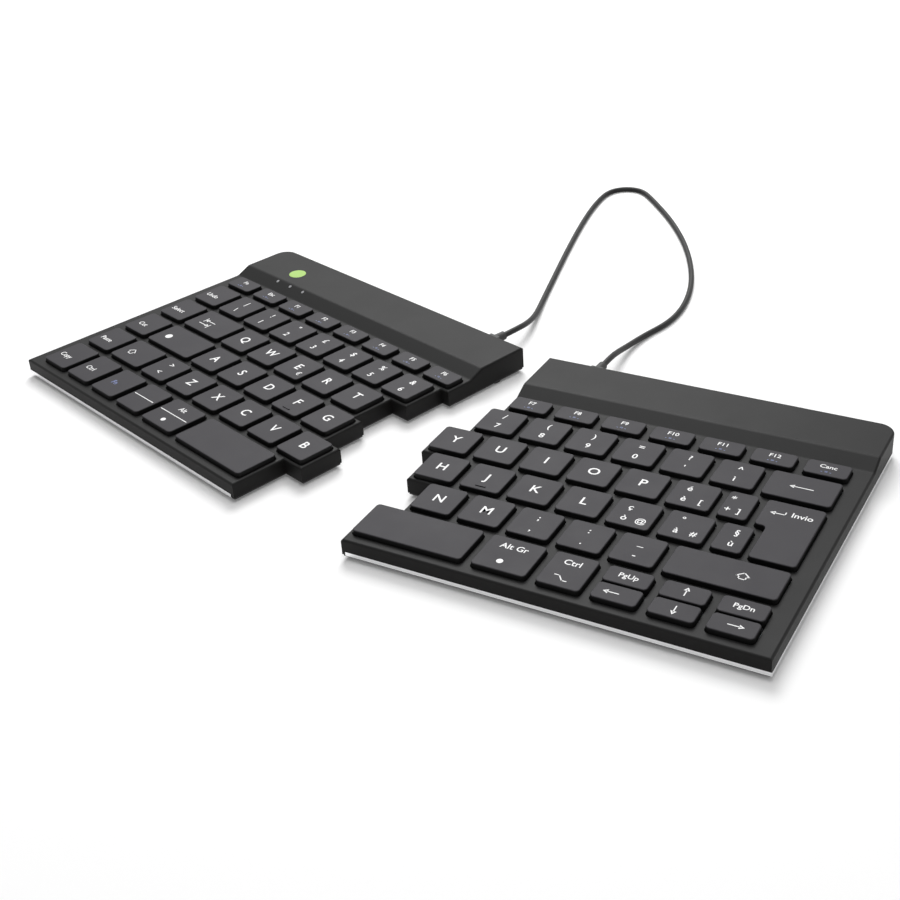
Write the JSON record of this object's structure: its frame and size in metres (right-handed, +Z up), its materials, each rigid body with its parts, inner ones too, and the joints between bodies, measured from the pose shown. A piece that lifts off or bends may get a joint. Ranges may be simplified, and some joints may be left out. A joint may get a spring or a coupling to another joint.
{
  "type": "split ergonomic keyboard",
  "caption": "Low split keyboard: flat wedge-free halves with stepped inner edges, short-travel scissor keys, raised rear humps, and a thin cord that links the halves.",
  "frame": {"origin": "on the desk, at the middle of the box round both halves, without the link cord", "axes": "+Z up, +Y away from the user, +X along the desk from the left half to the right"},
  "size_m": [0.3604, 0.3403, 0.0114],
  "materials": {
    "case_plastic": "fine satin",
    "key_plastic": "satin",
    "base_plastic": "satin black",
    "bright_trim": "polished",
    "foot_rubber": "matte",
    "plate_steel": "plain",
    "membrane_film": "clear film",
    "dome_rubber": "soft",
    "lever_plastic": "natural",
    "screw_steel": "black",
    "board_laminate": "solder mask",
    "relief_rubber": "matte",
    "battery_wrap": "shrink film",
    "socket_steel": "plain",
    "switch_plastic": "ribbed",
    "light_lens": "tinted lens",
    "indicator_lens": "smoked lens",
    "cord_jacket": "smooth jacket"
  },
  "bodies": {
    "left_half": {"left_base_cover": "base_plastic", "left_top_case": "case_plastic", "left_edge_trim": "bright_trim", "left_feet": "foot_rubber", "left_key_plate": "plate_steel", "left_membrane": "membrane_film", "left_rubber_domes": "dome_rubber", "left_outer_levers": "lever_plastic", "left_inner_levers": "lever_plastic", "left_case_screws": "screw_steel", "left_circuit_board": "board_laminate", "left_strain_relief": "relief_rubber", "battery": "battery_wrap", "charging_socket": "socket_steel", "status_light": "light_lens", "indicator_lights": "indicator_lens", "link_cord": "cord_jacket"},
    "right_half": {"right_base_cover": "base_plastic", "right_top_case": "case_plastic", "right_edge_trim": "bright_trim", "right_feet": "foot_rubber", "right_key_plate": "plate_steel", "right_membrane": "membrane_film", "right_rubber_domes": "dome_rubber", "right_outer_levers": "lever_plastic", "right_inner_levers": "lever_plastic", "right_case_screws": "screw_steel", "right_circuit_board": "board_laminate", "right_strain_relief": "relief_rubber"},
    "power_switch": {"power_switch": "switch_plastic"},
    "left_function_keys": {"left_function_keys": "key_plastic"},
    "left_number_keys": {"left_number_keys": "key_plastic"},
    "left_shortcut_keys": {"left_shortcut_keys": "key_plastic"},
    "tab_key": {"tab_key": "key_plastic"},
    "left_q_row_keys": {"left_q_row_keys": "key_plastic"},
    "caps_lock_key": {"caps_lock_key": "key_plastic"},
    "left_a_row_keys": {"left_a_row_keys": "key_plastic"},
    "left_shift_key": {"left_shift_key": "key_plastic"},
    "left_z_row_keys": {"left_z_row_keys": "key_plastic"},
    "left_modifier_keys": {"left_modifier_keys": "key_plastic"},
    "left_space_key": {"left_space_key": "key_plastic"},
    "right_function_keys": {"right_function_keys": "key_plastic"},
    "right_number_keys": {"right_number_keys": "key_plastic"},
    "backspace_key": {"backspace_key": "key_plastic"},
    "right_y_row_keys": {"right_y_row_keys": "key_plastic"},
    "enter_key": {"enter_key": "key_plastic"},
    "right_h_row_keys": {"right_h_row_keys": "key_plastic"},
    "right_n_row_keys": {"right_n_row_keys": "key_plastic"},
    "right_shift_key": {"right_shift_key": "key_plastic"},
    "right_space_key": {"right_space_key": "key_plastic"},
    "alt_gr_key": {"alt_gr_key": "key_plastic"},
    "right_ctrl_key": {"right_ctrl_key": "key_plastic"},
    "page_up_key": {"page_up_key": "key_plastic"},
    "arrow_up_key": {"arrow_up_key": "key_plastic"},
    "page_down_key": {"page_down_key": "key_plastic"},
    "arrow_left_key": {"arrow_left_key": "key_plastic"},
    "arrow_down_key": {"arrow_down_key": "key_plastic"},
    "arrow_right_key": {"arrow_right_key": "key_plastic"}
  },
  "joints": [
    {"name": "halves_spread", "type": "slide", "parent": "left_half", "child": "right_half", "axis": [1, 0, 0], "range_m": [-0.008, 0.08], "deforming": ["link_cord"]},
    {"name": "power_switch_slide", "type": "slide", "parent": "left_half", "child": "power_switch", "axis": [0.9879, -0.1552, 0], "range_m": [0, 0.002]},
    {"name": "left_function_keys_press", "type": "slide", "parent": "left_half", "child": "left_function_keys", "axis": [0, 0, -1], "range_m": [0, 0.0017], "stiffness_N_per_m": 250, "springref_m": -0.001, "deforming": ["left_rubber_domes", "left_outer_levers", "left_inner_levers"]},
    {"name": "left_number_keys_press", "type": "slide", "parent": "left_half", "child": "left_number_keys", "axis": [0, 0, -1], "range_m": [0, 0.0017], "stiffness_N_per_m": 250, "springref_m": -0.001},
    {"name": "left_shortcut_keys_press", "type": "slide", "parent": "left_half", "child": "left_shortcut_keys", "axis": [0, 0, -1], "range_m": [0, 0.0017], "stiffness_N_per_m": 250, "springref_m": -0.001},
    {"name": "tab_key_press", "type": "slide", "parent": "left_half", "child": "tab_key", "axis": [0, 0, -1], "range_m": [0, 0.0017], "stiffness_N_per_m": 250, "springref_m": -0.001},
    {"name": "left_q_row_keys_press", "type": "slide", "parent": "left_half", "child": "left_q_row_keys", "axis": [0, 0, -1], "range_m": [0, 0.0017], "stiffness_N_per_m": 250, "springref_m": -0.001},
    {"name": "caps_lock_key_press", "type": "slide", "parent": "left_half", "child": "caps_lock_key", "axis": [0, 0, -1], "range_m": [0, 0.0017], "stiffness_N_per_m": 250, "springref_m": -0.001},
    {"name": "left_a_row_keys_press", "type": "slide", "parent": "left_half", "child": "left_a_row_keys", "axis": [0, 0, -1], "range_m": [0, 0.0017], "stiffness_N_per_m": 250, "springref_m": -0.001},
    {"name": "left_shift_key_press", "type": "slide", "parent": "left_half", "child": "left_shift_key", "axis": [0, 0, -1], "range_m": [0, 0.0017], "stiffness_N_per_m": 250, "springref_m": -0.001},
    {"name": "left_z_row_keys_press", "type": "slide", "parent": "left_half", "child": "left_z_row_keys", "axis": [0, 0, -1], "range_m": [0, 0.0017], "stiffness_N_per_m": 250, "springref_m": -0.001},
    {"name": "left_modifier_keys_press", "type": "slide", "parent": "left_half", "child": "left_modifier_keys", "axis": [0, 0, -1], "range_m": [0, 0.0017], "stiffness_N_per_m": 250, "springref_m": -0.001},
    {"name": "left_space_key_press", "type": "slide", "parent": "left_half", "child": "left_space_key", "axis": [0, 0, -1], "range_m": [0, 0.0017], "stiffness_N_per_m": 250, "springref_m": -0.001},
    {"name": "right_function_keys_press", "type": "slide", "parent": "right_half", "child": "right_function_keys", "axis": [0, 0, -1], "range_m": [0, 0.0017], "stiffness_N_per_m": 250, "springref_m": -0.001, "deforming": ["right_rubber_domes", "right_outer_levers", "right_inner_levers"]},
    {"name": "right_number_keys_press", "type": "slide", "parent": "right_half", "child": "right_number_keys", "axis": [0, 0, -1], "range_m": [0, 0.0017], "stiffness_N_per_m": 250, "springref_m": -0.001},
    {"name": "backspace_key_press", "type": "slide", "parent": "right_half", "child": "backspace_key", "axis": [0, 0, -1], "range_m": [0, 0.0017], "stiffness_N_per_m": 250, "springref_m": -0.001},
    {"name": "right_y_row_keys_press", "type": "slide", "parent": "right_half", "child": "right_y_row_keys", "axis": [0, 0, -1], "range_m": [0, 0.0017], "stiffness_N_per_m": 250, "springref_m": -0.001},
    {"name": "enter_key_press", "type": "slide", "parent": "right_half", "child": "enter_key", "axis": [0, 0, -1], "range_m": [0, 0.0017], "stiffness_N_per_m": 250, "springref_m": -0.001},
    {"name": "right_h_row_keys_press", "type": "slide", "parent": "right_half", "child": "right_h_row_keys", "axis": [0, 0, -1], "range_m": [0, 0.0017], "stiffness_N_per_m": 250, "springref_m": -0.001},
    {"name": "right_n_row_keys_press", "type": "slide", "parent": "right_half", "child": "right_n_row_keys", "axis": [0, 0, -1], "range_m": [0, 0.0017], "stiffness_N_per_m": 250, "springref_m": -0.001},
    {"name": "right_shift_key_press", "type": "slide", "parent": "right_half", "child": "right_shift_key", "axis": [0, 0, -1], "range_m": [0, 0.0017], "stiffness_N_per_m": 250, "springref_m": -0.001},
    {"name": "right_space_key_press", "type": "slide", "parent": "right_half", "child": "right_space_key", "axis": [0, 0, -1], "range_m": [0, 0.0017], "stiffness_N_per_m": 250, "springref_m": -0.001},
    {"name": "alt_gr_key_press", "type": "slide", "parent": "right_half", "child": "alt_gr_key", "axis": [0, 0, -1], "range_m": [0, 0.0017], "stiffness_N_per_m": 250, "springref_m": -0.001},
    {"name": "right_ctrl_key_press", "type": "slide", "parent": "right_half", "child": "right_ctrl_key", "axis": [0, 0, -1], "range_m": [0, 0.0017], "stiffness_N_per_m": 250, "springref_m": -0.001},
    {"name": "page_up_key_press", "type": "slide", "parent": "right_half", "child": "page_up_key", "axis": [0, 0, -1], "range_m": [0, 0.0017], "stiffness_N_per_m": 250, "springref_m": -0.001},
    {"name": "arrow_up_key_press", "type": "slide", "parent": "right_half", "child": "arrow_up_key", "axis": [0, 0, -1], "range_m": [0, 0.0017], "stiffness_N_per_m": 250, "springref_m": -0.001},
    {"name": "page_down_key_press", "type": "slide", "parent": "right_half", "child": "page_down_key", "axis": [0, 0, -1], "range_m": [0, 0.0017], "stiffness_N_per_m": 250, "springref_m": -0.001},
    {"name": "arrow_left_key_press", "type": "slide", "parent": "right_half", "child": "arrow_left_key", "axis": [0, 0, -1], "range_m": [0, 0.0017], "stiffness_N_per_m": 250, "springref_m": -0.001},
    {"name": "arrow_down_key_press", "type": "slide", "parent": "right_half", "child": "arrow_down_key", "axis": [0, 0, -1], "range_m": [0, 0.0017], "stiffness_N_per_m": 250, "springref_m": -0.001},
    {"name": "arrow_right_key_press", "type": "slide", "parent": "right_half", "child": "arrow_right_key", "axis": [0, 0, -1], "range_m": [0, 0.0017], "stiffness_N_per_m": 250, "springref_m": -0.001}
  ]
}
